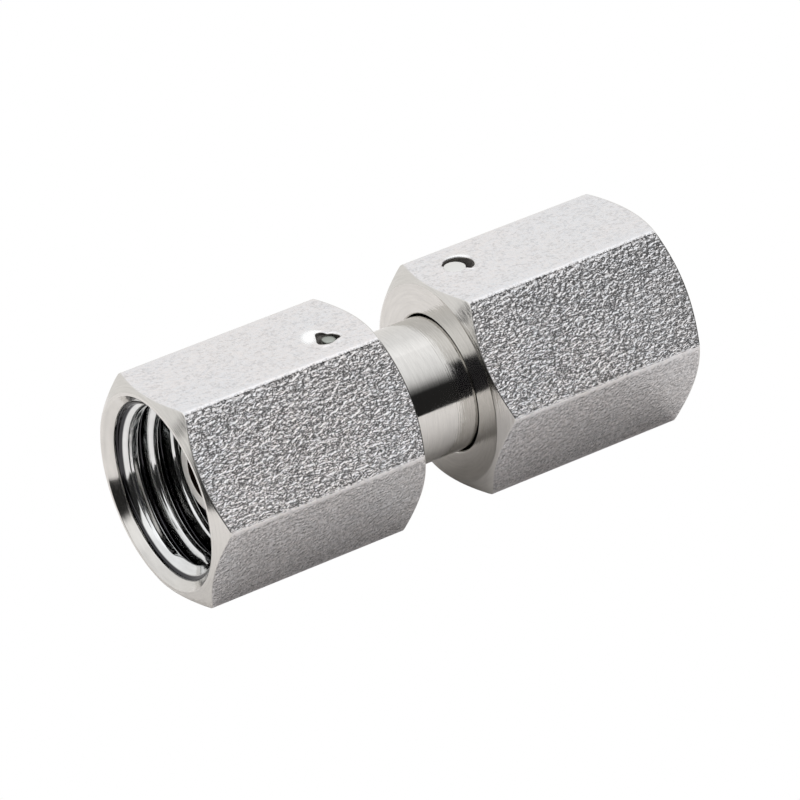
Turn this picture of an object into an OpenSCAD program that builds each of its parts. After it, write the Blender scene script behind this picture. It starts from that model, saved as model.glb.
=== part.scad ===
// Straight swivel coupling: two hex swivel nuts on a turned spigot with a cone at each end.
// X runs along the bore from nut A to nut B, Z is up through the flats that hold the wire holes.
// The origin is on the axis, midway between the two open mouths.

/* [Nuts] */
// Width across the flats of the hex bar
across_flats = 14; // [12:0.5:36]
// Length of one nut along the axis
nut_length = 15.9; // [12:0.1:40]
// Distance between the inner faces of the two nuts
nut_gap = 5.5; // [2:0.1:20]
// Diameter where the chamfer meets each end face of a nut
face_circle_d = 13.6; // [11:0.1:34]
// Angle of the end chamfers from the face plane
face_chamfer_angle = 30; // [15:1:45]
// Radius of the drawn bar's long corners
bar_corner_r = 0.3; // [0.2:0.05:1.5]

/* [Thread and mouth] */
// Nominal thread diameter
thread_d = 12; // [10:0.5:30]
// Thread pitch
thread_pitch = 1.5; // [0.75:0.25:2]
// Diameter of the 45 degree countersink at the mouth
mouth_d = 13.2; // [10.5:0.1:32]
// Depth from the mouth to the end of the thread
thread_end = 8.6; // [5:0.1:20]
// Depth from the mouth to the end of the thread relief
relief_end = 10.2; // [6:0.1:24]
// Diameter of the thread relief
relief_d = 12.3; // [10.5:0.1:31]

/* [Spigot body] */
// Diameter of the neck and of the spigots that carry the nuts
neck_d = 9.2; // [6:0.1:24]
// Diameter of the flow bore
flow_bore_d = 3; // [2:0.1:16]
// Chamfer at each mouth of the flow bore
flow_bore_chamfer = 0.25; // [0.1:0.05:1]
// Diameter of each cone at its tip
cone_tip_d = 5.2; // [4:0.1:20]
// Included angle of the sealing cones
cone_angle = 24; // [12:1:60]
// Diameter of each cone at its root
cone_root_d = 8.4; // [5:0.1:23]
// Depth of each cone tip inside its nut's mouth
tip_depth = 3.4; // [0.5:0.1:8]
// Radius that breaks the edge of each cone tip
tip_edge = 0.2; // [0.05:0.05:0.6]

/* [Seal rings] */
// Cord diameter of the seal rings
seal_cord_d = 1.5; // [1:0.1:3]
// Distance from a cone's tip to the middle of its seal groove
seal_station = 3.3; // [1.5:0.1:8]
// Width of each seal groove
seal_groove_w = 1.9; // [1.2:0.1:4]
// Diameter at the bottom of each seal groove
seal_groove_d = 4.4; // [3:0.1:18]

/* [Retaining wires] */
// Diameter of the drawn retaining wire
wire_d = 1.5; // [0.8:0.1:3]
// Distance from a nut's inner face to the middle of its wire groove
wire_station = 3.3; // [1.5:0.1:8]
// Angle that the wire covers round the spigot
wire_wrap = 300; // [180:5:310]
// Diameter of the wire entry hole
wire_hole_d = 2.1; // [1:0.1:4]
// Lean of the entry hole from the flat's normal
wire_hole_lean = 30; // [20:1:40]
// Depth of the wire's domed end below the flat
wire_end_depth = 0.2; // [0:0.05:1]

/* [Fits] */
// Radial clearance of a nut's rear bore on the spigot
swivel_clear = 0.10; // [0.02:0.01:0.4]
// Radial clearance of the wire in the nut's half of the groove
wire_seat_clear = 0.02; // [0.01:0.01:0.1]
// Radial clearance of the wire in the spigot's half of the groove
wire_run_clear = 0.05; // [0.02:0.01:0.15]
// Radial clearance of a seal ring on the bottom of its groove
seal_seat_clear = 0.01; // [0.005:0.005:0.05]
// Chamfer at the rear bore's edge
rear_edge = 0.1; // [0.1:0.05:1]

/* [Hidden] */
$fn = 96;

steel = [0.80, 0.80, 0.79];
wire_steel = [0.68, 0.68, 0.66];
rubber = [0.07, 0.07, 0.07];

overall = 2 * nut_length + nut_gap;
mouth_x = -overall / 2;
thread_minor_d = thread_d - 1.0825 * thread_pitch;
countersink_depth = (mouth_d - thread_minor_d) / 2;
rear_bore_d = neck_d + 2 * swivel_clear;
tip_x = mouth_x + tip_depth;
cone_len = (cone_root_d - cone_tip_d) / 2 / tan(cone_angle / 2);
wire_x = -nut_gap / 2 - wire_station;
wire_r = wire_d / 2;
cut = 1;

// Entry line of the wire in the plane across the axis: it leans from the flat's normal and is
// tangent to the groove's centre circle, so the wire runs straight from the hole into the groove.
groove_r = neck_d / 2;
tail_full = across_flats / 2 / cos(wire_hole_lean) - groove_r * tan(wire_hole_lean);
tail_len = tail_full - (wire_end_depth + wire_r) / cos(wire_hole_lean);

// Corner points of the hex bar, each corner a short arc tangent to its two flats
arc_steps = 6;
corner_c = (across_flats / 2 - bar_corner_r) / cos(30);
function bar_outline() = [
    for (k = [0 : 5], s = [0 : arc_steps])
        let (mid = 60 * k, a = mid - 30 + 60 * s / arc_steps)
        [corner_c * cos(mid) + bar_corner_r * cos(a),
         corner_c * sin(mid) + bar_corner_r * sin(a)]
];

// Draws a profile of [x, r] points turned about the X axis
module turned(profile) {
    rotate([0, 90, 0]) rotate([0, 0, 90])
        rotate_extrude() polygon([for (p = profile) [p[1], p[0]]]);
}

// The hex bar with both ends turned to chamfers
module chamfered_bar() {
    past = across_flats / 2 / cos(30) + cut;
    face_r = face_circle_d / 2;
    drop = (past - face_r) * tan(face_chamfer_angle);
    intersection() {
        translate([mouth_x, 0, 0]) rotate([0, 90, 0]) rotate([0, 0, 90])
            linear_extrude(nut_length) polygon(bar_outline());
        turned([[mouth_x, 0], [mouth_x, face_r], [mouth_x + drop, past],
                [mouth_x + nut_length - drop, past], [mouth_x + nut_length, face_r],
                [mouth_x + nut_length, 0]]);
    }
}

// Everything that is bored out of a nut along its axis
module nut_bore() {
    mouth_r = mouth_d / 2;
    minor_r = thread_minor_d / 2;
    relief_r = relief_d / 2;
    rear_r = rear_bore_d / 2;
    end = nut_length;
    translate([mouth_x, 0, 0])
        turned([[-cut, 0], [-cut, mouth_r], [0, mouth_r], [countersink_depth, minor_r],
                [thread_end, minor_r], [thread_end + (relief_r - minor_r) * tan(30), relief_r],
                [relief_end, relief_r], [relief_end + relief_r - rear_r, rear_r],
                [end - rear_edge, rear_r], [end, rear_r + rear_edge],
                [end + cut, rear_r + rear_edge], [end + cut, 0]]);
}

// A ring of round cord about the X axis
module cord_ring(x, centre_r, cord_r) {
    translate([x, 0, 0]) rotate([0, 90, 0])
        rotate_extrude() translate([centre_r, 0]) circle(cord_r);
}

// Straight rod on the wire's entry line, from the tangent point up to the given length
module entry_rod(length, r) {
    translate([wire_x, 0, 0]) rotate([-wire_hole_lean, 0, 0])
        translate([0, -groove_r, 0]) cylinder(h = length, r = r);
}

// Swivel nut at the A end, with the wire groove in its rear bore and the entry hole
module swivel_nut() {
    difference() {
        chamfered_bar();
        nut_bore();
        cord_ring(wire_x, groove_r, wire_r + wire_seat_clear);
        entry_rod(tail_full + cut, wire_hole_d / 2);
    }
}

// Retaining wire at the A end: an open turn in the groove and a straight tail with a domed end
module retaining_wire() {
    union() {
        translate([wire_x, 0, 0]) rotate([-90 - wire_hole_lean, 0, 0]) rotate([0, 90, 0])
            rotate_extrude(angle = wire_wrap) translate([groove_r, 0]) circle(wire_r);
        entry_rod(tail_len, wire_r);
        translate([wire_x, 0, 0]) rotate([-wire_hole_lean, 0, 0])
            translate([0, -groove_r, tail_len]) sphere(wire_r);
    }
}

// Half outline of the spigot from tip to neck middle, as [x, r]
function spigot_half() = let (
    slope = tan(cone_angle / 2),
    tip_r = cone_tip_d / 2,
    g0 = seal_station - seal_groove_w / 2,
    g1 = seal_station + seal_groove_w / 2,
    root_r = cone_root_d / 2,
    step = neck_d / 2 - root_r
) [
    [tip_x, 0],
    [tip_x, tip_r - tip_edge],
    [tip_x + tip_edge, tip_r + tip_edge * slope],
    [tip_x + g0, tip_r + g0 * slope],
    [tip_x + g0, seal_groove_d / 2],
    [tip_x + g1, seal_groove_d / 2],
    [tip_x + g1, tip_r + g1 * slope],
    [tip_x + cone_len, root_r],
    [tip_x + cone_len + step, neck_d / 2],
];

// Turned spigot with both cones, seal grooves, wire grooves and the flow bore
module swivel_body() {
    half = spigot_half();
    n = len(half);
    bore_r = flow_bore_d / 2;
    wide_r = bore_r + flow_bore_chamfer;
    color(steel) difference() {
        turned(concat(half, [for (i = [0 : n - 1]) [-half[n - 1 - i][0], half[n - 1 - i][1]]]));
        turned([[tip_x - cut, 0], [tip_x - cut, wide_r], [tip_x, wide_r],
                [tip_x + flow_bore_chamfer, bore_r], [-tip_x - flow_bore_chamfer, bore_r],
                [-tip_x, wide_r], [-tip_x + cut, wide_r], [-tip_x + cut, 0]]);
        for (x = [wire_x, -wire_x])
            cord_ring(x, groove_r, wire_r + wire_run_clear);
    }
}

module nut_a() {
    color(steel) swivel_nut();
}

module nut_b() {
    color(steel) rotate([0, 0, 180]) swivel_nut();
}

module retaining_wire_a() {
    color(wire_steel) retaining_wire();
}

module retaining_wire_b() {
    color(wire_steel) rotate([0, 0, 180]) retaining_wire();
}

// Seal ring seated on the bottom of its groove
module seal_ring(x) {
    color(rubber)
        cord_ring(x, seal_groove_d / 2 + seal_seat_clear + seal_cord_d / 2, seal_cord_d / 2);
}

module o_ring_a() {
    seal_ring(tip_x + seal_station);
}

module o_ring_b() {
    seal_ring(-tip_x - seal_station);
}

swivel_body();
nut_a();
nut_b();
retaining_wire_a();
retaining_wire_b();
o_ring_a();
o_ring_b();
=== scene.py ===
import math

import bpy
import numpy as np
from bpy.props import FloatProperty, FloatVectorProperty, PointerProperty
from mathutils import Matrix, Vector


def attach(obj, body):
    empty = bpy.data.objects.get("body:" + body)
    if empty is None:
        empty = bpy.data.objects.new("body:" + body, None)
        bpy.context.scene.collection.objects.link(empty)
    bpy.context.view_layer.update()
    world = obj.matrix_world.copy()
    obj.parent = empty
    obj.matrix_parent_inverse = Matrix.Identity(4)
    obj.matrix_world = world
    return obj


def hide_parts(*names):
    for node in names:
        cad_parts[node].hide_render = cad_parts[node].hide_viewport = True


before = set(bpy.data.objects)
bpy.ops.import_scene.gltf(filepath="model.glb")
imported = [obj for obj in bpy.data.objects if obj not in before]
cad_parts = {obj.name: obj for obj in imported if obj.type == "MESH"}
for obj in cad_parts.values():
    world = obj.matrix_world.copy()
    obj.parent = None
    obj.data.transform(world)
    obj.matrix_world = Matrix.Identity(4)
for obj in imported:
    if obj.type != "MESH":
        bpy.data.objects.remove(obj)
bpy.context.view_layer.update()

bl_info = {
    "name": "Swivel coupling",
    "version": (1, 0, 0),
    "blender": (4, 5, 0),
    "location": "View3D > Sidebar > Coupling",
    "description": "Builds the surfaces, threads, wires and seals of a straight swivel coupling",
    "category": "Object",
}

TAU = 2 * math.pi
BAR, TURNED, THREAD, HOLE = range(4)


# Settings that a user would change. Sizes are in metres and match the solids.


def length(name, description, default, low=0.00001, high=0.2):
    """A length property in metres, shown in the scene's units."""
    return FloatProperty(name=name, description=description, default=default, min=low, max=high,
                         precision=5, unit="LENGTH", subtype="DISTANCE")


def angle(name, description, degrees):
    """An angle property, given in degrees."""
    return FloatProperty(name=name, description=description, default=math.radians(degrees),
                         subtype="ANGLE", unit="ROTATION")


def colour(name, description, default):
    """A colour property."""
    return FloatVectorProperty(name=name, description=description, default=default, size=3,
                               min=0.0, max=1.0, subtype="COLOR")


class CouplingNutSettings(bpy.types.PropertyGroup):
    """Sizes of the two hex swivel nuts."""

    across_flats: length("Across flats", "Width across the flats of the hex bar", 0.0140)
    nut_length: length("Length", "Length of one nut along the axis", 0.0159)
    nut_gap: length("Gap", "Distance between the inner faces of the nuts", 0.0055)
    face_circle: length("Face circle", "Diameter where the chamfer meets an end face", 0.0136)
    chamfer_angle: angle("Chamfer angle", "Angle of the end chamfers from the face plane", 30)
    corner_radius: length("Corner radius", "Radius of the drawn bar's long corners", 0.00030)
    corner_roll: length("Corner roll", "How far the flats fall away towards the corners", 0.000022)
    mouth: length("Mouth", "Diameter of the countersink at the mouth", 0.0132)
    thread_major: length("Thread diameter", "Nominal diameter of the internal thread", 0.0120)
    thread_pitch: length("Thread pitch", "Distance from one thread turn to the next", 0.0015)
    thread_start: length("Thread start", "Depth of the first crest at the top of the mouth", 0.00197)
    thread_end: length("Thread end", "Depth from the mouth to the end of the thread", 0.0086)
    relief: length("Relief", "Diameter of the thread relief", 0.0123)
    relief_end: length("Relief end", "Depth from the mouth to the end of the relief", 0.0102)
    rear_bore: length("Rear bore", "Diameter of the bore that runs on the spigot", 0.0094)
    rear_edge: length("Rear edge", "Chamfer at the rear bore's edge", 0.0001)
    edge_round: length("Edge rounding", "Rounding of the turned edges", 0.00006)


class CouplingWireSettings(bpy.types.PropertyGroup):
    """Sizes of the retaining wires, their grooves and their entry holes."""

    wire: length("Wire", "Diameter of the drawn retaining wire", 0.0015)
    station: length("Groove station", "Distance from a nut's inner face to the groove", 0.0033)
    wrap: angle("Wrap", "Angle that the wire covers round the spigot", 300)
    hole: length("Entry hole", "Diameter of the wire's entry hole", 0.0021)
    lean: angle("Hole lean", "Lean of the entry hole from the flat's normal", 30)
    lip: length("Lip", "Height of the metal raised round the entry hole", 0.00006)
    seat_clear: length("Seat clearance", "Radial clearance of the wire in the nut", 0.00002)
    run_clear: length("Running clearance", "Radial clearance of the wire in the spigot", 0.00005)


class CouplingSpigotSettings(bpy.types.PropertyGroup):
    """Sizes of the turned spigot with its two cones."""

    neck: length("Neck", "Diameter of the neck and the spigots", 0.0092)
    flow_bore: length("Flow bore", "Diameter of the bore through the spigot", 0.0030)
    flow_chamfer: length("Flow bore chamfer", "Chamfer at each mouth of the flow bore", 0.00025)
    flow_lead: length("Flow bore lead", "Length of the taper at each mouth of the flow bore", 0.0011)
    tip: length("Cone tip", "Diameter of each cone at its tip", 0.0052)
    root: length("Cone root", "Diameter of each cone at its root", 0.0084)
    cone_angle: angle("Cone angle", "Included angle of the sealing cones", 24)
    tip_depth: length("Tip depth", "Depth of each tip inside its nut's mouth", 0.0034)
    seal_cord: length("Seal cord", "Cord diameter of the seal rings", 0.0015)
    seal_station: length("Seal station", "Distance from a tip to its seal groove", 0.0033)
    seal_groove: length("Seal groove width", "Width of each seal groove", 0.0019)
    seal_bottom: length("Seal groove bottom", "Diameter at the bottom of each seal groove", 0.0044)


class CouplingFinishSettings(bpy.types.PropertyGroup):
    """Colours and grain of the plated steel and the rubber."""

    zinc: colour("Zinc", "Colour of the bright plated bar", (0.80, 0.80, 0.79))
    turned: colour("Turned steel", "Colour of the turned and plated faces", (0.70, 0.686, 0.66))
    thread: colour("Thread", "Colour of the cut thread", (0.78, 0.79, 0.79))
    wire: colour("Wire", "Colour of the retaining wire", (0.79, 0.79, 0.77))
    rubber: colour("Rubber", "Colour of the seal rings", (0.031, 0.031, 0.031))
    grain_size: length("Grain size", "Width of one grain on the bar's flats", 0.00030)
    grain_depth: length("Grain depth", "Depth of the grain on the bar's flats", 0.000075)
    line_pitch: length("Line pitch", "Distance between turning lines", 0.00009)
    line_depth: length("Line depth", "Depth of the turning lines", 0.00001)


class CouplingStageSettings(bpy.types.PropertyGroup):
    """Camera, light and floor."""

    focal: length("Lens length", "Focal length of the camera on a 36 mm sensor", 0.270, 0.01, 2.0)
    sky: FloatProperty(name="Sky", description="Strength of the pale surroundings",
                       default=1.0, min=0.0, max=3.0, subtype="FACTOR")
    floor: colour("Floor", "Colour of the pale floor", (0.92, 0.895, 0.88))
    panel: FloatProperty(name="Panel", description="Power of the soft panel over the floor's left",
                         default=0.08, min=0.0, unit="POWER")
    floor_half: length("Floor size", "Half the width of the square floor", 0.046, 0.02, 5.0)


# Surfaces: every piece is a grid of points, a function of two parameters.


def add_object(name, data):
    """Links new data to the scene as an object at the origin."""
    obj = bpy.data.objects.new(name, data)
    bpy.context.scene.collection.objects.link(obj)
    return obj


def inside_out(flat, quads):
    """Whether closed quads a, b, c, d face inwards: the sum of a.(b x c) + a.(c x d) is negative."""
    a, b, c, d = (flat[quads[:, k]] for k in range(4))
    return np.einsum("ij,ij->", a, np.cross(b, c) + np.cross(c, d)) < 0


def smooth_mesh(name, points, faces):
    """A mesh of smooth faces."""
    mesh = bpy.data.meshes.new(name)
    mesh.from_pydata(points, [], faces)
    mesh.shade_smooth()
    return mesh


def grid_object(name, points, zones=0, attributes=None):
    """Makes one closed smooth mesh from a grid of points that wraps round in both directions.

    points[j, i] is row j, column i. The quad between rows j and j + 1 takes the material
    zones[j, i], and attributes holds one value a point.
    """
    rows, cols = points.shape[:2]
    index = np.arange(rows * cols).reshape(rows, cols)
    right, up = np.roll(index, -1, 1), np.roll(index, -1, 0)
    quads = np.stack([index, right, np.roll(up, -1, 1), up], -1).reshape(-1, 4)
    flat = points.reshape(-1, 3)
    if inside_out(flat, quads):
        quads = quads[:, ::-1]
    mesh = smooth_mesh(name, flat, quads)
    zones = np.broadcast_to(zones, (rows, cols)).astype(np.int32)
    mesh.polygons.foreach_set("material_index", zones.ravel())
    for key, values in (attributes or {}).items():
        layer = mesh.attributes.new(key, "FLOAT", "POINT")
        values = np.broadcast_to(values, (rows, cols)).astype(np.float32)
        layer.data.foreach_set("value", values.ravel())
    if mesh.validate():
        raise RuntimeError(f"{name} is not a clean mesh")
    return add_object(name, mesh)


def soften(corners, rounds, closed=True, steps=4, support=0.00003):
    """Rounds the corners of an outline of [along, radius] points, for every column at once.

    corners is (count, columns, 2). Each corner with a rounding d becomes the parabola
    (1-t)^2 a + 2t(1-t) c + t^2 b, where a and b lie d from the corner c on its two sides,
    with one more point just outside each end. Returns the rows and each corner's last row.
    """
    corners = np.asarray(corners, float)
    out, last = [], []
    count = len(corners)
    t = np.linspace(0, 1, steps + 1)[:, None, None]
    for k, (c, d) in enumerate(zip(corners, rounds)):
        before, after = corners[k - 1], corners[(k + 1) % count]
        if d and (closed or 0 < k < count - 1):
            to_a, to_b = before - c, after - c
            to_a /= np.linalg.norm(to_a, axis=-1, keepdims=True)
            to_b /= np.linalg.norm(to_b, axis=-1, keepdims=True)
            a, b = c + d * to_a, c + d * to_b
            curve = (1 - t) ** 2 * a + 2 * t * (1 - t) * c + t ** 2 * b
            out += [a + support * to_a, *curve, b + support * to_b]
        else:
            out.append(c)
        last.append(len(out) - 1)
    return out, last


def turn(rows, phi, mouth=0.0):
    """Turns rows of [s, r] round the X axis: x = mouth + s, y = -r sin phi, z = r cos phi."""
    rows = np.asarray(rows)
    s, r = rows[..., 0], rows[..., 1]
    return np.stack([mouth + s, -r * np.sin(phi), r * np.cos(phi)], -1)


def between(a, b, count):
    """count rows strictly between row a and row b."""
    t = np.linspace(0, 1, count + 2)[1:-1, None, None]
    return list(a + (b - a) * t)


def smooth_step(x):
    """3x^2 - 2x^3 on 0 to 1."""
    x = np.clip(x, 0, 1)
    return x * x * (3 - 2 * x)


def soft_max(a, b, k):
    """The larger of a and b, rounded over a width k: (a + b + sqrt((a - b)^2 + k^2)) / 2."""
    return 0.5 * (a + b + np.sqrt((a - b) ** 2 + k * k))


# Columns of the hex bar: PATCH round the wire hole, LEAD and TAIL beside them, PLAIN on each
# other flat, BEND round a corner. Each table goes flat by flat, or corner by corner, from the top.
PATCH, PATCH_HALF = 48, 0.0017
LEAD, TAIL, PLAIN, BEND = 12, 4, 30, 8
EDGE_TRIM, EDGE_WORN = 0.00006, 0.0002
FLAT_GRAIN = (0.26, 1.0, 0.6, 0.26, 0.6, 1.0)
EDGE_GRAIN = (0.3, 0.9, 0.3, 0.3, 0.3, 0.9)
ROLL_WIDTH = (0.0008, 0.0003, 0.0008, 0.0008, 0.0008, 0.0003)
CORNER_WIDTH = (1.9, 1.0, 1.0, 1.0, 1.0, 1.9)
SMOOTH_CORNER = np.array([0.36, 0.18, 0.05, 0.05, 0.18, 0.36])
ROUGH_CORNER = np.array([0.95, 0.88, 0.70, 0.40, 0.25, 0.36])
CORNER_GRAIN = (ROUGH_CORNER[::-1], ROUGH_CORNER, SMOOTH_CORNER, SMOOTH_CORNER,
                ROUGH_CORNER[::-1], ROUGH_CORNER)


def hex_columns(nut, hole_side):
    """Angles of the nut's columns, from the top flat's middle towards the camera side.

    On a flat the columns are at phi = 60 k + atan(t / h), where t is the distance from the
    flat's middle and h half the width across the flats, and dense where the wire hole lies.
    In a bar corner of radius q centred at c = (h - q) / cos 30 they are evenly spaced. The two
    corners of the top flat are worn wider, and each flat falls away a little towards its ends.
    Returns the angles, the bar's radius there, and how much grain the bar has there.
    """
    h, slant = nut.across_flats / 2, math.radians(30)
    phi, radius, grain = [], [], []
    for k in range(6):
        lo, hi = ((h - nut.corner_radius * CORNER_WIDTH[i]) * math.tan(slant) for i in (k - 1, k))
        if k == 0:
            near, far = hole_side - PATCH_HALF, hole_side + PATCH_HALF
            parts = [np.linspace(-lo + EDGE_TRIM, near, LEAD)[:-1],
                     np.linspace(near, far, PATCH + 1),
                     np.linspace(far, hi - EDGE_TRIM, TAIL)[1:]]
        else:
            parts = [np.linspace(-lo + EDGE_TRIM, hi - EDGE_TRIM, PLAIN)]
        t = np.concatenate([[-lo], *parts, [hi]])
        gap = np.where(t < 0, lo + t, hi - t)
        fall = np.clip(1 - gap / ROLL_WIDTH[k], 0, 1) ** 2
        worn = EDGE_GRAIN[k] + (1 - EDGE_GRAIN[k]) * smooth_step(gap / EDGE_WORN)
        phi.append(2 * k * slant + np.arctan(t / h))
        radius.append(np.hypot(t, h) - nut.corner_roll * fall)
        grain.append(FLAT_GRAIN[k] * worn)

        q = nut.corner_radius * CORNER_WIDTH[k]
        c = (h - q) / math.cos(slant)
        turn_at = math.atan(hi / h)
        a = np.linspace(turn_at, 2 * slant - turn_at, BEND)[1:-1]
        bend = c * np.cos(a - slant) + np.sqrt(q * q - (c * np.sin(a - slant)) ** 2)
        blend = np.linspace(FLAT_GRAIN[k], FLAT_GRAIN[(k + 1) % 6], BEND)[1:-1]
        phi.append(2 * k * slant + a)
        radius.append(bend - nut.corner_roll)
        grain.append(CORNER_GRAIN[k] * blend)
    return np.concatenate(phi), np.concatenate(radius), np.concatenate(grain)


# The thread in shares of its pitch: its height, half of a crest's flat, a flank, and how much
# deeper the first crest starts. Then the share of that crest cut off, and the height of its burr.
THREAD_HEIGHT, CREST_HALF, FLANK, FIRST_DELAY = 0.54125, 0.125, 0.3125, 0.044
FIRST_CUT, FIRST_BURR = 0.35, 0.00004
FLANK_SLOPE = math.tan(math.radians(30))


def thread_radius(nut, s, phi):
    """Radius of the helical thread at depth s: a 60 degree internal thread of pitch P.

    With p the distance in pitches from the nearest crest, p = |frac((s - s0)/P - phi/2pi)|,
    r = minor + (major - minor) clip((p - 0.125) / 0.3125, 0, 1), with both corners softened.
    The first crest, where the tap entered, is cut off, starts a little deeper, and has a fine
    groove and a fine ridge along its front. It runs out at the bottom of the mouth.
    """
    major = nut.thread_major / 2
    minor = major - THREAD_HEIGHT * nut.thread_pitch
    wound = (phi + math.pi) % TAU - math.pi
    turns = (s - nut.thread_start) / nut.thread_pitch - wound / TAU
    p = np.abs(turns - np.round(turns))
    first = np.where(np.abs(turns) < 0.5, smooth_step((math.pi - np.abs(wound)) / 0.3), 0)
    ramp = (p - CREST_HALF - FIRST_DELAY * first * (turns < 0)) / FLANK
    low = soft_max(ramp, FIRST_CUT * first, 0.13)
    groove, ridge = (np.exp(-((turns + at) / wide) ** 2)
                     for at, wide in ((0.17, 0.025), (0.066, 0.02)))
    burr = first * FIRST_BURR * (groove - ridge)
    return minor + (major - minor) * (1 - soft_max(1 - low, 0, 0.06)) + burr


def hole_patch(wires, mark):
    """The stretch of top flat round the wire's entry hole, as offsets along, across and up.

    Square rings of grid points become circles towards the middle: with m = max(|a|, |b|) and
    the ring's angle q, a point lies at d(m) ((1-w) (cos q, sin q) + w (a, b)/m). From the rim
    inwards the rings run down the slanted hole, and outside it they carry the raised lip and
    the dent that the punch left. mark says how the hole was closed over its wire. Also returns
    which points lie in the hole, and how strongly the struck metal takes a painted highlight.
    """
    n = PATCH // 2
    rim, wall, floor = 13, 9, 4
    rim_width, lip_at, lip_width = 0.00008, 0.00018, 0.00016
    r = wires.hole / 2
    lean_cos, lean_sin = math.cos(wires.lean), math.sin(wires.lean)
    a, b = np.meshgrid(np.arange(-n, n + 1), np.arange(-n, n + 1), indexing="ij")
    m = np.maximum(np.abs(a), np.abs(b))
    safe = np.maximum(m, 1)
    sideways = np.where(a < 0, math.pi, 0) + (math.pi / 4) * b / safe * np.where(a < 0, -1, 1)
    upright = np.sign(b) * math.pi / 2 - (math.pi / 4) * a / safe * np.sign(np.where(b == 0, 1, b))
    q = np.where(np.abs(a) >= np.abs(b), sideways, upright)
    open_r = r * mark["rim"](q)
    inner = np.interp(m, [0, floor, wall, rim - 1, rim], [0, 0.94, 0.98, 0.985, 1.0])
    inner = np.where(m < rim - 1, inner * r, inner * open_r)
    t = np.clip((m - rim - 1) / (n - rim - 1), 0, 1)
    outer = (open_r + rim_width) * (1 - t) + PATCH_HALF * t
    d = np.where(m <= rim, inner, outer)
    down = np.interp(m, [0, floor, wall, rim - 2, rim - 1, rim, rim + 1],
                     [mark["deep"], mark["deep"], 0.0006, 0.00022, 0.00009, 0.00003, 0])
    w = smooth_step((m - rim - 2) / (n - rim - 2))
    rounded = 1 - w
    tall = mark["tall"] / lean_cos
    along = d * (rounded * np.cos(q) + w * a / safe) + mark["at"][0] * rounded
    across = d * (rounded * np.sin(q) * tall + w * b / safe) + mark["at"][1] * rounded
    ridge = np.where(m > rim, mark["lip"](q) * np.exp(-((d - open_r - lip_at) / lip_width) ** 2), 0)
    off = along - mark["punch"][0] + 1j * (across - mark["punch"][1])
    off = off * np.exp(-1j * mark["punch_turn"])
    near = np.hypot(off.real / mark["punch_r"][0], off.imag / mark["punch_r"][1])
    dent = np.exp(-near ** 2) * np.where(m > rim - 1, 1, 0)
    strokes = 0.15 * np.sin((along + 0.3 * across) / 0.00011)
    up = ridge - dent * mark["punch_deep"] * (1 + strokes) - down * lean_cos
    # The dent's share, times the mark's white, is how strongly the struck metal takes a painted
    # highlight.
    return along, across + down * lean_sin, up, m <= rim, np.clip(dent, 0, 1) * mark["white"]


# How far the wire's middle line lies inside the rear bore, and a step for sharp edges.
WIRE_INSET, CREASE = 0.0001, 0.00003


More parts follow.
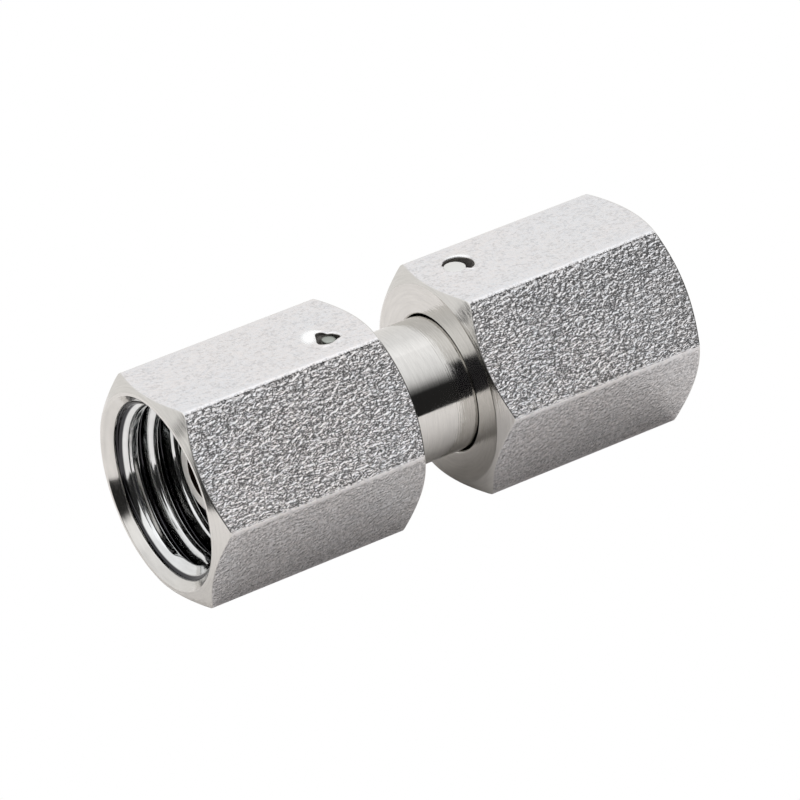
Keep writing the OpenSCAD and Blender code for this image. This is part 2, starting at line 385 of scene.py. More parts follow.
def build_nut(name, nut, wires, turned_round, mark):
    """One hex swivel nut as a single closed surface of columns round the axis and rows along
    the section: mouth, chamfer, flats, chamfer, rear face, bore, wire groove, relief, thread."""
    h = nut.across_flats / 2
    L = nut.nut_length
    mouth = -(L + nut.nut_gap / 2)
    s_hole = L - wires.station
    groove_r = nut.rear_bore / 2 - WIRE_INSET
    hole_side = (h * math.sin(wires.lean) - groove_r) / -math.cos(wires.lean)
    phi, bar, grain = hex_columns(nut, hole_side)
    one = np.ones_like(phi)
    rows, zones = [], []

    def at(s, r):
        return np.stack([s * one, r * one], -1)

    def add(new, zone=TURNED):
        rows.extend(new)
        zones.extend([zone] * len(new))

    # The outside, by its corners: mouth, face, both ends of the flats, rear face, rear bore.
    face, rear = nut.face_circle / 2, nut.rear_bore / 2
    drop = (bar - face) * math.tan(nut.chamfer_angle)
    e = nut.edge_round
    corners = [at(0, nut.mouth / 2), at(0, face), at(drop, bar), at(L - drop, bar), at(L, face),
               at(L, rear + nut.rear_edge), at(L - nut.rear_edge, rear), at(L - 0.002, rear)]
    rounds = [e * k for k in (0.6, 0.6, 0.5, 0.5, 0.6, 0.6, 0.6, 0)]
    out, last = soften(np.array(corners), rounds, closed=False)
    face_row, flat_from, flat_to, end_row, rear_row = last[1], last[2], last[3] - 6, last[3], last[4]
    add(out[:face_row + 1])
    add(between(out[face_row], out[face_row + 1], 2))
    add(out[face_row + 1:flat_from])

    # The flats, with the square patch's rows.
    lo, hi = s_hole - PATCH_HALF, s_hole + PATCH_HALF
    add([out[flat_from]], BAR)
    add(between(out[flat_from], at(lo, bar), 10), BAR)
    first_row = len(rows)
    add([at(s, bar) for s in np.linspace(lo, hi, PATCH + 1)], BAR)
    add(between(rows[-1], out[flat_to], 1), BAR)
    add(out[flat_to:end_row + 1])
    add(between(out[end_row], out[end_row + 1], 2))
    add(out[end_row + 1:rear_row + 1])
    add(between(out[rear_row], out[rear_row + 1], 6))
    add(out[rear_row + 1:-1])

    # The inside: rear bore, wire groove, step, relief and thread.
    wr = wires.wire / 2 + wires.seat_clear
    reach = math.asin((rear - groove_r) / wr)
    add([at(L - nut.rear_edge - 0.0006, rear)])
    add([at(s_hole + wr * math.cos(t), groove_r + wr * math.sin(t))
         for t in np.linspace(reach, math.pi - reach, 17)])
    relief = nut.relief / 2
    minor = nut.thread_major / 2 - THREAD_HEIGHT * nut.thread_pitch
    step_foot = nut.relief_end + relief - rear
    run_out = nut.thread_end + (relief - minor) * FLANK_SLOPE
    add([at(step_foot + CREASE, rear), at(step_foot - CREASE, rear + CREASE)])
    add(between(at(step_foot, rear), at(nut.relief_end, relief), 3))
    add([at(nut.relief_end + CREASE, relief - CREASE), at(nut.relief_end - CREASE, relief)])
    add([at(run_out + 0.0001, relief)], THREAD)
    dense_from, lip, sink_to, root_to = 0.0022, 0.00004, 0.0008, 0.0007
    for s in (*np.linspace(run_out, dense_from, 112), *np.linspace(dense_from, lip, 66)[1:]):
        thread = thread_radius(nut, s, phi)
        if s > nut.thread_end:
            thread = soft_max(thread, relief - (run_out - s) / FLANK_SLOPE, 0.00004)
        sink = max(nut.mouth / 2 - s, nut.thread_major / 2 + 0.00005 if s < sink_to else 0)
        add([at(s, soft_max(thread, sink, 0.00005))], THREAD if s > root_to else TURNED)

    points = turn(rows, phi, mouth)
    zone = np.repeat(np.array(zones)[:, None], len(phi), 1)
    along, across, up, inside, dent = hole_patch(wires, mark)
    patch = np.s_[first_row:first_row + PATCH + 1, LEAD:LEAD + PATCH + 1]
    points[patch] = np.stack([mouth + s_hole + along, -(hole_side + across), h + up], -1)
    # The struck metal round the hole, which the bar's material paints with a white highlight.
    struck = np.zeros(points.shape[:2])
    struck[patch] = dent
    quads = np.s_[first_row:first_row + PATCH, LEAD:LEAD + PATCH]
    zone[quads][inside[:-1, :-1] & inside[1:, 1:]] = HOLE
    if turned_round:
        points = points * [-1, -1, 1]
    return grid_object(name, points, zone, {"grain": grain[None, :], "struck": struck})


def build_lathe(name, outline, rounds, columns=192):
    """A turned piece: the closed outline of [along, radius] corners, softened and turned. The
    end faces are zone 1 and all else is zone 0."""
    phi = np.arange(columns) * TAU / columns
    corners = np.repeat(np.asarray(outline, float)[:, None, :], columns, 1)
    points = turn(soften(corners, rounds)[0], phi)
    reach = np.abs(points[:, 0, 0])
    return grid_object(name, points, (reach > reach.max() - 0.00001)[:, None])


def build_spigot(name, nut, wires, spigot):
    """The turned spigot: bore, cones with seal grooves, and the neck with its wire grooves."""
    half = nut.nut_length + nut.nut_gap / 2
    tip = -half + spigot.tip_depth
    slope = math.tan(spigot.cone_angle / 2)
    r0, neck, bore = spigot.tip / 2, spigot.neck / 2, spigot.flow_bore / 2
    g0 = spigot.seal_station - spigot.seal_groove / 2
    g1 = spigot.seal_station + spigot.seal_groove / 2
    root = spigot.root / 2
    cone = (root - r0) / slope
    wr = wires.wire / 2 + wires.run_clear
    wx = -(nut.nut_gap / 2 + wires.station)
    groove = [(wx - wr * math.cos(t), neck - wr * math.sin(t)) for t in np.linspace(0, math.pi, 15)]
    round_step = 0.00002
    left = [(tip, bore + spigot.flow_chamfer, 2), (tip, r0, 8), (tip + g0, r0 + g0 * slope, 3),
            (tip + g0, spigot.seal_bottom / 2, 5), (tip + g1, spigot.seal_bottom / 2, 5),
            (tip + g1, r0 + g1 * slope, 3), (tip + cone, root, 3), (tip + cone + neck - root, neck, 3)]
    left += [(x, r, 2 if k in (0, 14) else 0) for k, (x, r) in enumerate(groove)]
    right = [(-x, r, d) for x, r, d in reversed(left)]
    inner = [(-tip - spigot.flow_lead, bore, 5), (tip + spigot.flow_lead, bore, 5)]
    outline = left + right + inner
    return build_lathe(name, [p[:2] for p in outline], [p[2] * round_step for p in outline])


def build_wire(name, nut, wires, turned_round, end):
    """The retaining wire: a round tube along an open turn in the groove and a straight tail up
    the entry hole.

    Towards its end the tail's rings lean over until they lie parallel to the flat, shrink to
    the tip's share of the wire's radius, and close in a low dome. end gives how far the end is
    sunk, how far it is pushed along and across, and the tip's share.
    """
    r = wires.wire / 2
    R = nut.rear_bore / 2 - WIRE_INSET
    h = nut.across_flats / 2
    x = -(nut.nut_gap / 2 + wires.station)
    cos_l, sin_l = math.cos(wires.lean), math.sin(wires.lean)
    touch = math.pi / 2 - wires.lean
    tail = (h - end["sunk"]) / cos_l - R * sin_l / cos_l
    arc = np.linspace(touch + wires.wrap, touch, 121)
    centre = np.stack([x + 0 * arc, -R * np.sin(arc), R * np.cos(arc)], -1)
    normal = np.stack([0 * arc, -np.sin(arc), np.cos(arc)], -1)
    up, across = np.array([0, sin_l, cos_l]), np.array([0, -cos_l, sin_l])
    t = np.linspace(0, 1, 30)[1:]
    push = np.array([end["push"][0], -end["push"][1], 0])
    straight = centre[-1] + tail * t[:, None] * up
    centre = np.concatenate([centre, straight + smooth_step(2 * t - 1)[:, None] * push])
    lean = smooth_step((t - 0.5) / 0.4)[:, None] * sin_l / cos_l
    normal = np.concatenate([normal, across - lean * up])
    size = np.full(len(centre), r)
    size[-len(t):] *= 1 - (1 - end["tip"]) * smooth_step((t - 0.8) / 0.2)
    cap = np.linspace(0, math.pi / 2, 9)[1:]
    dome = (end["dome"] * np.sin(cap))[:, None] * [0, 0, 1]
    centre = np.concatenate([centre, centre[-1] + dome])
    normal = np.concatenate([normal, np.repeat(normal[-1:], len(cap), 0)])
    size = np.concatenate([size, size[-1] * np.maximum(np.cos(cap), 0.02)])
    size[:5] *= np.sqrt(1 - (1 - np.array([0.02, 0.3, 0.6, 0.85, 0.97])) ** 2)
    ring = (np.arange(48) * TAU / 48)[None, :, None]
    round_ring = np.cos(ring) * normal[:, None, :] + np.sin(ring) * np.array([1.0, 0, 0])
    rows = centre[:, None, :] + size[:, None, None] * round_ring
    if turned_round:
        rows = rows * [-1, -1, 1]
    return capped_tube(name, rows)


def capped_tube(name, rows):
    """A tube whose first and last rings shrink to one point each, closed with triangle fans."""
    count, cols = rows.shape[:2]
    index = np.arange(count * cols).reshape(count, cols)
    right = np.roll(index, -1, 1)
    quads = np.stack([index[:-1], right[:-1], right[1:], index[1:]], -1).reshape(-1, 4)
    first, last = count * cols, count * cols + 1
    caps = [(first, int(b), int(a)) for a, b in zip(index[0], right[0])]
    caps += [(last, int(a), int(b)) for a, b in zip(index[-1], right[-1])]
    flat = np.concatenate([rows.reshape(-1, 3), rows[0].mean(0)[None], rows[-1].mean(0)[None]])
    faces = [tuple(q) for q in quads.tolist()] + caps
    if inside_out(flat, quads):
        faces = [f[::-1] for f in faces]
    return add_object(name, smooth_mesh(name, flat.tolist(), faces))


def build_seal(name, spigot, x):
    """A seal ring: a circle of the cord's radius turned round the axis, just off the groove's
    bottom."""
    clear = 0.00001
    r = spigot.seal_cord / 2
    R = spigot.seal_bottom / 2 + clear + r
    t = np.arange(32) * TAU / 32
    phi = np.arange(128) * TAU / 128
    rows = np.stack([x + r * np.cos(t), R + r * np.sin(t)], -1)[:, None].repeat(len(phi), 1)
    return grid_object(name, turn(rows, phi))


# Shader node groups. Each gives only values, colours or heights.


def node_group(name, outputs, inputs=()):
    """An empty group of values. Returns it, its helper, what it is given and what it gives."""
    group = bpy.data.node_groups.new(name, "ShaderNodeTree")
    for way, labels in (("INPUT", inputs), ("OUTPUT", outputs)):
        for label in labels:
            group.interface.new_socket(label, in_out=way, socket_type="NodeSocketFloat")
    given, end = group.nodes.new("NodeGroupInput"), group.nodes.new("NodeGroupOutput")
    return group, Nodes(group), given.outputs, end.inputs


class Nodes:
    """Short ways to add and link shader nodes in one tree."""

    def __init__(self, tree):
        self.tree = tree

    def add(self, kind, values=None, **settings):
        """Adds a node, sets its settings, and links or sets its inputs by name or number."""
        node = self.tree.nodes.new(kind)
        for key, value in settings.items():
            setattr(node, key, value)
        for key, value in (values or {}).items():
            self.put(node.inputs[key], value)
        return node

    def put(self, socket, value):
        """Links value to the socket, or sets it."""
        if isinstance(value, bpy.types.NodeSocket):
            self.tree.links.new(value, socket)
        else:
            socket.default_value = value

    def math(self, operation, a, b=0.0, c=0.0):
        """One Math node."""
        node = self.add("ShaderNodeMath", operation=operation)
        for socket, value in zip(node.inputs, (a, b, c)):
            self.put(socket, value)
        return node.outputs[0]

    def times(self, a, b):
        """a times b."""
        return self.math("MULTIPLY", a, b)

    def plus(self, a, b):
        """a plus b."""
        return self.math("ADD", a, b)

    def minus(self, a, b):
        """a minus b."""
        return self.math("SUBTRACT", a, b)

    def hypot(self, a, b):
        """The square root of a^2 + b^2."""
        return self.math("SQRT", self.plus(self.math("POWER", a, 2.0), self.math("POWER", b, 2.0)))

    def place(self, kind="Object"):
        """The piece's own coordinates."""
        return self.add("ShaderNodeTexCoord").outputs[kind]

    def parts(self, vector):
        """The vector's x, y and z."""
        return self.add("ShaderNodeSeparateXYZ", {0: vector}).outputs

    def group(self, tree, **values):
        """The outputs of a node group, given its values."""
        return self.add("ShaderNodeGroup", values, node_tree=tree).outputs

    def bump(self, height, distance, strength=1.0):
        """A normal from a height."""
        return self.add("ShaderNodeBump", {"Height": height, "Distance": distance,
                                           "Strength": strength}).outputs[0]

    def noise(self, vector, scale, detail=2.0, rough=0.5, distortion=0.0):
        """A noise texture's value. Scale is in cycles a metre."""
        node = self.add("ShaderNodeTexNoise", {"Vector": vector, "Scale": scale, "Detail": detail,
                                               "Roughness": rough, "Distortion": distortion})
        return node.outputs["Fac"]

    def span(self, value, low, high, to_low=0.0, to_high=1.0, smooth=True):
        """Maps value from low..high to to_low..to_high, clamped."""
        node = self.add("ShaderNodeMapRange", {"Value": value, "From Min": low, "From Max": high,
                                               "To Min": to_low, "To Max": to_high},
                        interpolation_type="SMOOTHSTEP" if smooth else "LINEAR")
        return node.outputs["Result"]

    def mix(self, factor, a, b):
        """Mixes two colours, each a socket or red, green and blue."""
        node = self.add("ShaderNodeMix", {0: factor}, data_type="RGBA")
        for number, value in ((6, a), (7, b)):
            self.put(node.inputs[number], (*value, 1.0) if isinstance(value, tuple) else value)
        return node.outputs[2]


def grain_group(finish):
    """Bar grain: Height of the peel on the drawn flats, Fine for the height of the even speckle
    on the smoother flats, Speck from the pits' painted shade to clean metal, Edge that frays
    the border of the grain, and Hue from warm to cool.

    The peel is noise of two sizes, drawn out a little along the bar."""
    group, n, _, end = node_group("BarGrain", ("Height", "Fine", "Speck", "Edge", "Hue"))
    place = n.place()
    drawn, round_on = (n.add("ShaderNodeVectorMath", {0: place, 1: k}, operation="MULTIPLY").outputs[0]
                       for k in ((0.92, 1.20, 1.20), (1.0, 0.68, 0.75)))
    f = 1.0 / finish.grain_size
    coarse, fine = n.noise(drawn, 1.08 * f, 1.0, 0.45, 0.1), n.noise(drawn, 2.3 * f, 0.0, 0.5)
    speck = n.noise(round_on, 1.9 * f, 2.0, 0.62)
    n.put(end["Height"], n.plus(n.times(n.span(coarse, 0.32, 0.68), 0.9), n.times(fine, 0.22)))
    n.put(end["Fine"], n.times(n.noise(place, 1.4 * f, 1.0, 0.6), 3.5))
    n.put(end["Speck"], n.span(speck, 0.34, 0.66, smooth=False))
    n.put(end["Edge"], n.noise(drawn, 0.8 * f, 2.0, 0.6))
    n.put(end["Hue"], n.span(n.noise(drawn, 0.9 * f, 3.0, 0.65), 0.35, 0.65))
    return group


def turned_group(finish):
    """Turning lines: Height and Shade of fine grooves that run round the axis, with each
    material's own Depth.

    On a cylinder they follow x and on a face they follow the radius. The cutter chattered
    more towards nut B, so the lines are deeper there."""
    group, n, given, end = node_group("TurningLines", ("Height", "Shade"), ("Depth",))
    x, y, z = n.parts(n.place())
    radius = n.hypot(y, z)
    station = n.plus(x, n.times(radius, 0.62))
    line = n.add("ShaderNodeCombineXYZ", {0: station}).outputs[0]
    f = 1.0 / finish.line_pitch
    fine, broad = n.noise(line, f, 1.0, 0.6), n.noise(line, 0.3 * f, 2.0, 0.6)
    round_y, round_z = (n.times(n.math("DIVIDE", side, radius), 4.0 / f) for side in (y, z))
    streak = n.add("ShaderNodeCombineXYZ", {0: n.times(station, 0.7), 1: round_y, 2: round_z})
    streaks = n.noise(streak.outputs[0], f, 2.0, 0.65)
    deep = n.span(x, -0.0005, 0.0022, 0.30, 1.0)
    all_lines = n.plus(n.plus(fine, n.times(broad, 0.8)), n.times(streaks, 0.9))
    n.put(end["Height"], n.times(n.times(all_lines, deep), given["Depth"]))
    n.put(end["Shade"], n.plus(n.times(fine, 0.4), n.times(streaks, 0.6)))
    return group


def plating_group():
    """Plating: soft changes of Tint from warm to blue, and of Dull, across the zinc."""
    group, n, _, end = node_group("Plating", ("Tint", "Dull"))
    place = n.place()
    n.put(end["Tint"], n.span(n.noise(place, 110.0, 2.0, 0.5, 0.6), 0.35, 0.65))
    n.put(end["Dull"], n.span(n.noise(place, 420.0, 3.0, 0.6), 0.3, 0.75))
    return group


def new_material(name, colour_value, metallic=1.0, roughness=0.3):
    """A material with a Principled shader. Returns it, its shader's inputs and its helper."""
    material = bpy.data.materials.new(name)
    material.use_nodes = True
    shader = material.node_tree.nodes["Principled BSDF"].inputs
    shader["Base Color"].default_value = (*colour_value, 1.0)
    shader["Metallic"].default_value = metallic
    shader["Roughness"].default_value = roughness
    return material, shader, Nodes(material.node_tree)


# Colours of the painted shade in the grain's pits, and of the painted highlight on metal struck by the
# punch and the lines in it.
PIT_SHADE, STRUCK_HIGHLIGHT, STRUCK_LINE = (0.30, 0.295, 0.30), (0.98, 0.98, 0.98), (0.50, 0.53, 0.55)
# Factors on the zinc where it is warm and cool, and on turned faces in dark and light lines.
WARM, COOL, LINE_DARK, LINE_LIGHT = (1.07, 1.03, 1.03), (1.01, 1.02, 1.06), 0.89, 1.06
# Radii from which and to which the thread's roots and the flow bore darken, and their colour.
ROOT_SHADOW = (0.00574, 0.00584, (0.055, 0.055, 0.06))
BORE_SHADOW = (0.00180, 0.00174, (0.07, 0.05, 0.04))
# Lines a metre along the axis, times 2 pi, in metal struck by the punch.
SCORE_RATE = 42000.0


def make_bar(finish, grain, plating):
    """The drawn and plated bar: peel and painted pit shade where the grain is strong, a fine
    speckle where it is weak, and a painted white highlight where the punch struck."""
    _, shader, n = new_material("zinc_bar", finish.zinc, roughness=0.2)
    g, p = n.group(grain), n.group(plating)
    amount, struck = (n.add("ShaderNodeAttribute", attribute_name=name).outputs["Fac"]
                      for name in ("grain", "struck"))
    frayed = n.span(n.plus(n.times(g["Edge"], 2.0), amount), 1.15, 1.45)
    amount = n.times(n.times(amount, frayed), n.minus(1.0, struck))
    peel = n.span(amount, 0.66, 0.86)
    height = n.plus(n.times(g["Height"], peel), n.times(g["Fine"], n.minus(1.0, peel)))
    strength = n.span(amount, 0.0, 1.0, 0.02, 0.92, False)
    n.put(shader["Normal"], n.bump(height, finish.grain_depth, strength))

    hue = n.math("MULTIPLY_ADD", g["Hue"], 0.6, n.times(p["Tint"], 0.4))
    plain = n.mix(hue, *(tuple(c * k for c, k in zip(finish.zinc, tint)) for tint in (WARM, COOL)))
    # Painted shade: dark specks in the grain's pits, strongest where the grain is strong and the peel
    # weak.
    pit_shade_share = n.times(n.span(amount, 0.0, 0.6, 0.09, 0.75, False), n.span(peel, 0.0, 1.0, 1.0, 0.12))
    tone = n.mix(n.times(n.minus(1.0, g["Speck"]), pit_shade_share), plain, PIT_SHADE)
    score = n.span(n.math("SINE", n.times(n.parts(n.place())[0], SCORE_RATE)), 0.2, 1.0)
    score = n.times(score, n.span(struck, 0.75, 0.25))
    # Painted highlight: the struck metal is coloured white, with grey score lines across it.
    white = n.mix(n.times(score, 0.5), STRUCK_HIGHLIGHT, STRUCK_LINE)
    n.put(shader["Base Color"], n.mix(n.span(struck, 0.1, 0.5), tone, white))

    # Painted highlight: the struck metal is made hardly metallic, so its painted white shows as a
    # diffuse sheen.
    highlight_metal_share = n.span(struck, 0.25, 0.65, 1.0, 0.1)
    n.put(shader["Metallic"], n.minus(highlight_metal_share, n.times(peel, 0.18)))
    dull = n.math("MULTIPLY_ADD", peel, 0.05, n.span(p["Dull"], 0.0, 1.0, 0.15, 0.22, False))
    n.put(shader["Roughness"], n.math("MAXIMUM", dull, n.times(struck, 0.5)))


def make_turned(name, tone, rough, depth, shadow, finish, lines, plating):
    """A turned and plated face, with fine lines of the given share of their depth, that may
    darken with the radius."""
    _, shader, n = new_material(name, tone, roughness=rough)
    t, p = n.group(lines, Depth=depth), n.group(plating)
    n.put(shader["Normal"], n.bump(t["Height"], finish.line_depth))
    dark, light = (tuple(c * k for c in tone) for k in (LINE_DARK, LINE_LIGHT))
    shade = n.mix(n.span(t["Shade"], 0.3, 0.7, smooth=False), dark, light)
    if shadow:
        start, stop, dark = shadow
        radius = n.hypot(*n.parts(n.place())[1:])
        shade = n.mix(n.span(radius, start, stop), shade, dark)
    n.put(shader["Base Color"], shade)
    dull = n.span(p["Dull"], 0.0, 1.0, rough - 0.02, rough + 0.04, False)
    n.put(shader["Roughness"], dull)


def make_materials(finish):
    """The looks of the bar, the turned faces, the thread, the hole, the wire and the rubber."""
    grain, lines, plating = grain_group(finish), turned_group(finish), plating_group()
    make_bar(finish, grain, plating)
    turned = finish.turned
    for look in (("zinc_turned", turned, 0.13, 0.9, None),
                 ("zinc_neck", turned, 0.08, 0.8, BORE_SHADOW),
                 ("zinc_tip", tuple(1.25 * c for c in turned), 0.45, 1.2, None),
                 ("zinc_thread", finish.thread, 0.09, 0.035, ROOT_SHADOW)):
        make_turned(*look, finish, lines, plating)
    # The entry hole's wall is darker and less metallic: painted shade inside the hole.
    new_material("hole_wall_shade", (0.40, 0.38, 0.36), 0.85, 0.45)
    new_material("drawn_wire", finish.wire, 1.0, 0.3)
    # Nut A's wire end sits deep in its hole: its darker grey-green colour is painted shade, its rougher
    # finish the sheared end.
    new_material("sheared_wire_shade", (0.36, 0.38, 0.35), 1.0, 0.36)
    new_material("ring_rubber", finish.rubber, 0.0, 0.75)


def hand_over(obj, body, slot, node, *materials):
    """Gives a piece its materials in the order of its zones and its body, and hides the imported part
    node. slot is not used.
    """
    for material in materials:
        obj.data.materials.append(material)
    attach(obj, body)
    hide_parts(node)


def settings():
    """The coupling's settings on the scene."""
    return bpy.context.scene.coupling


def cast_materials():
    """The materials by name, made once."""
    if "ring_rubber" not in bpy.data.materials:
        make_materials(settings().finish)
    return bpy.data.materials


def hug(q, centre, radius, hole, middle, half):
    """The rim's share of the hole's radius where metal was driven against the wire's end.

    With c the wire's centre and u the direction q, the wire's edge is at
    c.u + sqrt(radius^2 - c.c + (c.u)^2); the rim follows it within half of the angle middle.
    """
    cu = centre[0] * np.cos(q) + centre[1] * np.sin(q)
    edge = cu + np.sqrt(np.maximum(radius ** 2 - centre[0] ** 2 - centre[1] ** 2 + cu ** 2, 0))
    off = np.abs((q - middle + math.pi) % TAU - math.pi)
    near = smooth_step((half - off) / 0.25 + 0.5)
    return 1 - near * (1 - np.minimum(edge * 0.97 / hole, 1.0))


def lobe(q, middle, width):
    """A smooth rise to 1 round the angle middle: exp((cos(q - middle) - 1) / width^2)."""
    return np.exp((np.cos(q - middle) - 1) / width ** 2)


def hole_marks(wires):
    """How each entry hole was closed: nut A's is punched over its wire, nut B's is driven
    against its wire on one side and open on the other.

    at and tall place and stretch the hole, rim is its radius by angle as a share, lip the raised
    metal's height, and punch the dent's middle, with its radii, turn, depth and the whiteness of
    its painted highlight.
    """
    high, r = wires.lip, wires.hole / 2
    return {
        "a": {"at": (0.00022, 0.00030), "tall": 1.0, "deep": 0.0019, "punch": (-0.00050, -0.00056),
              "punch_r": (0.00092, 0.00054), "punch_turn": 2.15, "punch_deep": 0.00007, "white": 1.0,
              "rim": lambda q: (0.61 + 0.30 * lobe(q, -1.65, 0.35) + 0.28 * lobe(q, 2.5, 0.45)
                                + 0.20 * lobe(q, 0.40, 0.30) - 0.15 * lobe(q, -0.95, 0.25)),
              "lip": lambda q: high * (0.8 + 0.4 * np.cos(5 * q + 1))},
        "b": {"at": (0, -0.00012), "tall": 0.87, "deep": 0.0019, "punch": (-0.00048, 0.00082),
              "punch_r": (0.00115, 0.00055), "punch_turn": 0.575, "punch_deep": 0.00001, "white": 0.42,
              "rim": lambda q: (hug(q, (0.00042, -0.00018), 0.00069, r, -0.66, 1.05)
                                + 0.01 * np.cos(3 * q)),
              "lip": lambda q: high * (1.1 + 0.5 * np.sin(q))},
    }


WIRE_ENDS = {
    "a": {"sunk": 0.00028, "push": (0.00044, 0.00002), "tip": 0.64, "dome": 0.00016},
    "b": {"sunk": -0.00002, "push": (0.00042, -0.00030), "tip": 0.92, "dome": 0.00006},
}


class COUPLING_OT_nuts(bpy.types.Operator):
    """Build both hex swivel nuts"""

    bl_idname = "coupling.nuts"
    bl_label = "Swivel nuts"

    def execute(self, context):
        s, looks = settings(), cast_materials()
        for end, mark in hole_marks(s.wires).items():
            nut = build_nut(f"hex_nut_{end}", s.nut, s.wires, end == "b", mark)
            hand_over(nut, f"nut_{end}_body", "nut_steel", f"nut_{end}",
                      looks["zinc_bar"], looks["zinc_turned"], looks["zinc_thread"], looks["hole_wall_shade"])
        return {"FINISHED"}


class COUPLING_OT_spigot(bpy.types.Operator):
    """Build the turned spigot"""

    bl_idname = "coupling.spigot"
    bl_label = "Spigot"

    def execute(self, context):
        s, looks = settings(), cast_materials()
        body = build_spigot("turned_spigot", s.nut, s.wires, s.spigot)
        hand_over(body, "spigot", "turned_steel", "swivel_body", looks["zinc_neck"], looks["zinc_tip"])
        return {"FINISHED"}


class COUPLING_OT_wires(bpy.types.Operator):
    """Build both retaining wires"""

    bl_idname = "coupling.wires"
    bl_label = "Retaining wires"

    def execute(self, context):
        s, looks = settings(), cast_materials()
        for end, shape in WIRE_ENDS.items():
            wire = build_wire(f"drive_in_wire_{end}", s.nut, s.wires, end == "b", shape)
            hand_over(wire, f"nut_{end}_body", "wire_steel", f"retaining_wire_{end}",
                      looks["sheared_wire_shade" if end == "a" else "drawn_wire"])
        return {"FINISHED"}


class COUPLING_OT_seals(bpy.types.Operator):
    """Build both seal rings"""

    bl_idname = "coupling.seals"
    bl_label = "Seal rings"

    def execute(self, context):
        s, looks = settings(), cast_materials()
        x = s.nut.nut_length + s.nut.nut_gap / 2 - s.spigot.tip_depth - s.spigot.seal_station
        for end, side in (("a", -1), ("b", 1)):
            ring = build_seal(f"seal_ring_{end}", s.spigot, side * x)
            hand_over(ring, "spigot", "seal_rubber", f"o_ring_{end}", looks["ring_rubber"])
        return {"FINISHED"}


def make_floor(stage, z):
    """A pale floor that shows as plain white and still takes the coupling's shade."""
    mesh = bpy.data.meshes.new("floor")
    h = stage.floor_half
    mesh.from_pydata([(-h, -h, z), (h, -h, z), (h, h, z), (-h, h, z)], [], [(0, 1, 2, 3)])
    floor = add_object("floor", mesh)
    material, shader, n = new_material("pale_floor", stage.floor, metallic=0.0, roughness=0.9)
    shader["Specular IOR Level"].default_value = 0.0
    white = n.add("ShaderNodeEmission")
    seen = n.add("ShaderNodeLightPath").outputs["Is Camera Ray"]
    plain = n.tree.nodes["Principled BSDF"].outputs[0]
    mixed = n.add("ShaderNodeMixShader", {0: seen, 1: plain, 2: white.outputs[0]})
    end = next(x for x in n.tree.nodes if x.type == "OUTPUT_MATERIAL")
    n.put(end.inputs["Surface"], mixed.outputs[0])
    mesh.materials.append(material)
    return floor


# Strengths by the sine of the elevation, TOP at the most, and a strong overhead light in all.
TOP = 1.4
FRONT_LIGHT = ((-1.0, 0.02), (0.37, 0.02), (0.47, 0.18), (0.55, 0.46), (0.61, 0.68), (0.69, 0.86),
               (0.77, 0.98), (0.87, 1.06), (1.0, TOP))
SIDE_LIGHT = ((-1.0, 0.02), (0.29, 0.02), (0.36, 1.12), (0.80, 1.12), (1.0, TOP))
BACK_LIGHT = ((-1.0, 0.80), (0.0, 0.90), (0.45, 0.95), (0.75, 1.0), (1.0, TOP))
# The dark block's direction on the level, the dark spot's direction, and the darkness of both.
BLOCK_WAY, SPOT_WAY, DARKNESS = (-0.530, 0.848), (-0.906, 0.340, 0.250), (0.012, 0.012, 0.014)


def light_ramp(n, height, stops):
    """A colour ramp that gives a table's strengths as shares of TOP."""
    ramp = n.add("ShaderNodeValToRGB", {"Fac": height})
    elements = ramp.color_ramp.elements
    while len(elements) < len(stops):
        elements.new(0.5)
    for element, (sine, value) in zip(elements, stops):
        element.position = (sine + 1) / 2
        element.color = (value / TOP, value / TOP, value / TOP, 1.0)
    return ramp.outputs["Color"]


def make_world(stage):
    """Pale surroundings as a function of direction, and plain white to the camera.

    The front is a dark room under a wide overhead light, the left side has a bright panel from
    about 20 degrees up, and behind all is pale. A dark block stands on the camera's side up to
    46 degrees, and a small dark spot on the far left.
    """
    world = bpy.data.worlds.new("studio")
    bpy.context.scene.world = world
    world.use_nodes = True
    n = Nodes(world.node_tree)
    back = world.node_tree.nodes["Background"]
    place = n.place("Generated")
    x, y, z = n.parts(place)
    flat = n.math("MAXIMUM", n.hypot(x, y), 0.0001)
    facing, side = n.math("DIVIDE", n.times(y, -1.0), flat), n.math("DIVIDE", x, flat)
    height = n.math("MULTIPLY_ADD", z, 0.5, 0.5)
    behind, front, left = (light_ramp(n, height, s) for s in (BACK_LIGHT, FRONT_LIGHT, SIDE_LIGHT))
    near = n.mix(n.span(side, -0.72, -0.87), front, left)
    light = n.mix(n.span(facing, -0.24, -0.08), behind, near)

    block = n.math("MULTIPLY_ADD", side, BLOCK_WAY[0], n.times(facing, BLOCK_WAY[1]))
    block = n.times(n.span(block, 0.925, 0.965), n.span(z, 0.76, 0.66))
    spot = n.add("ShaderNodeVectorMath", {0: place, 1: SPOT_WAY}, operation="DOT_PRODUCT")
    spot = n.times(n.span(spot.outputs["Value"], 0.9940, 0.9985), 0.9)
    light = n.mix(n.math("MAXIMUM", block, spot), light, DARKNESS)
    tint = n.mix(n.span(z, -0.2, 0.9), (1.0, 0.985, 0.965), (0.985, 0.99, 1.0))
    lit = n.add("ShaderNodeMix", {0: 1.0, 6: light, 7: tint}, data_type="RGBA", blend_type="MULTIPLY")
    seen = n.add("ShaderNodeLightPath").outputs["Is Camera Ray"]
    n.put(back.inputs["Color"], n.mix(seen, lit.outputs[2], (1.0, 1.0, 1.0)))
    n.put(back.inputs["Strength"], n.span(seen, 0.0, 1.0, TOP * stage.sky, 1.0, False))


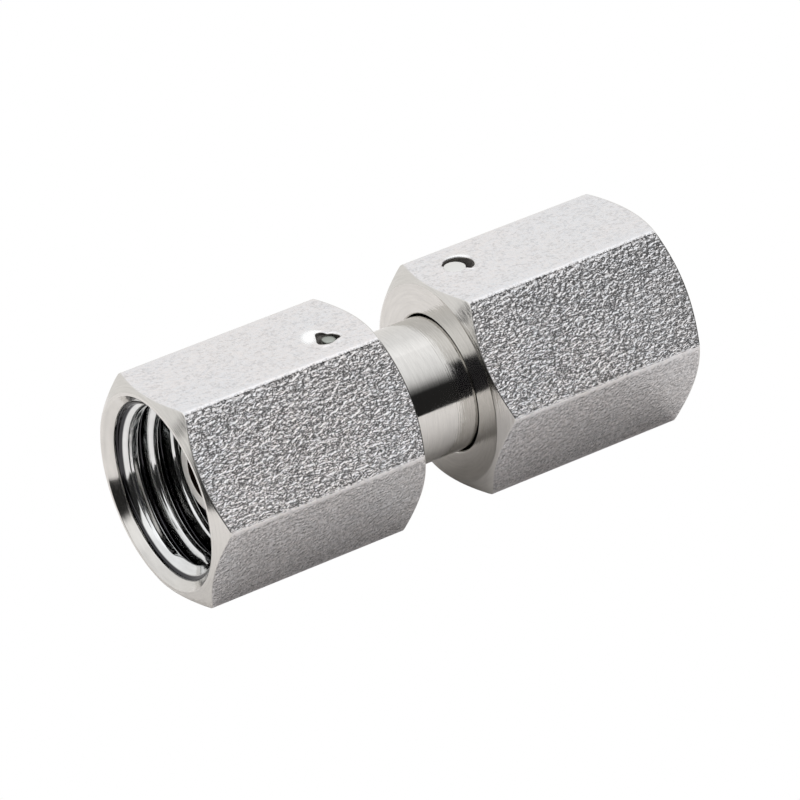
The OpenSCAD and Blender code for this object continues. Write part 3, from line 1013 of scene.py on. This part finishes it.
def make_panel(stage):
    """A wide soft panel on the upper left that lights the floor and isn't mirrored in the metal."""
    data = bpy.data.lights.new("left_panel", "AREA")
    data.energy = stage.panel
    data.size = 0.12
    panel = add_object("left_panel", data)
    place = Vector((-0.12, -0.06, 0.12))
    panel.matrix_world = Matrix.Translation(place) @ place.to_track_quat("Z", "Y").to_matrix().to_4x4()
    panel.visible_glossy = False
    panel.visible_camera = False


# The camera's place, and its right, down and forward directions, in the object's frame.
CAMERA_PLACE = (-0.171139, -0.300677, 0.174290)
CAMERA_ROWS = ((0.8344011, -0.5395843, -0.1123546), (-0.3302033, -0.3261822, -0.8857601),
               (0.4412942, 0.7761791, -0.4503393))


def make_camera(stage):
    """The camera at the photograph's viewing angle."""
    data = bpy.data.cameras.new("camera")
    data.lens = stage.focal * 1000
    data.sensor_width = 36
    data.clip_start, data.clip_end = 0.01, 10
    camera = add_object("camera", data)
    right, down, ahead = (Vector(v) for v in CAMERA_ROWS)
    turn_rows = Matrix((right, -down, -ahead)).transposed()
    camera.matrix_world = Matrix.Translation(CAMERA_PLACE) @ turn_rows.to_4x4()
    bpy.context.scene.camera = camera


class COUPLING_OT_stage(bpy.types.Operator):
    """Build the floor, the light and the camera"""

    bl_idname = "coupling.stage"
    bl_label = "Stage"

    def execute(self, context):
        s = settings()
        make_floor(s.stage, -s.nut.across_flats / 2)
        make_world(s.stage)
        make_panel(s.stage)
        make_camera(s.stage)
        context.scene.view_settings.view_transform = "Standard"
        return {"FINISHED"}


class COUPLING_PT_panel(bpy.types.Panel):
    """Lists the coupling's parts and settings"""

    bl_idname = "COUPLING_PT_panel"
    bl_label = "Swivel coupling"
    bl_space_type = "VIEW_3D"
    bl_region_type = "UI"
    bl_category = "Coupling"

    def draw(self, context):
        for operator in OPERATORS:
            self.layout.operator(operator.bl_idname)
        groups = context.scene.coupling
        for key in ("nut", "wires", "spigot", "finish", "stage"):
            box = self.layout.box()
            group = getattr(groups, key)
            for prop in group.__annotations__:
                box.prop(group, prop)


class CouplingSettings(bpy.types.PropertyGroup):
    """All settings of the coupling."""

    nut: PointerProperty(type=CouplingNutSettings, name="Nuts", description="Swivel nuts")
    wires: PointerProperty(type=CouplingWireSettings, name="Wires", description="Retaining wires")
    spigot: PointerProperty(type=CouplingSpigotSettings, name="Spigot", description="Turned spigot")
    finish: PointerProperty(type=CouplingFinishSettings, name="Finish", description="Colours and grain")
    stage: PointerProperty(type=CouplingStageSettings, name="Stage", description="Camera and light")


OPERATORS = (COUPLING_OT_nuts, COUPLING_OT_spigot, COUPLING_OT_wires, COUPLING_OT_seals,
             COUPLING_OT_stage)
CLASSES = (CouplingNutSettings, CouplingWireSettings, CouplingSpigotSettings, CouplingFinishSettings,
           CouplingStageSettings, CouplingSettings, *OPERATORS, COUPLING_PT_panel)


def register():
    """Registers the classes and puts the settings on the scene."""
    for cls in CLASSES:
        bpy.utils.register_class(cls)
    bpy.types.Scene.coupling = PointerProperty(type=CouplingSettings)


def unregister():
    """Takes the settings off the scene and unregisters the classes."""
    del bpy.types.Scene.coupling
    for cls in reversed(CLASSES):
        bpy.utils.unregister_class(cls)


def main():
    register()
    bpy.ops.coupling.nuts()
    bpy.ops.coupling.spigot()
    bpy.ops.coupling.wires()
    bpy.ops.coupling.seals()
    bpy.ops.coupling.stage()


if __name__ == "__main__":
    main()
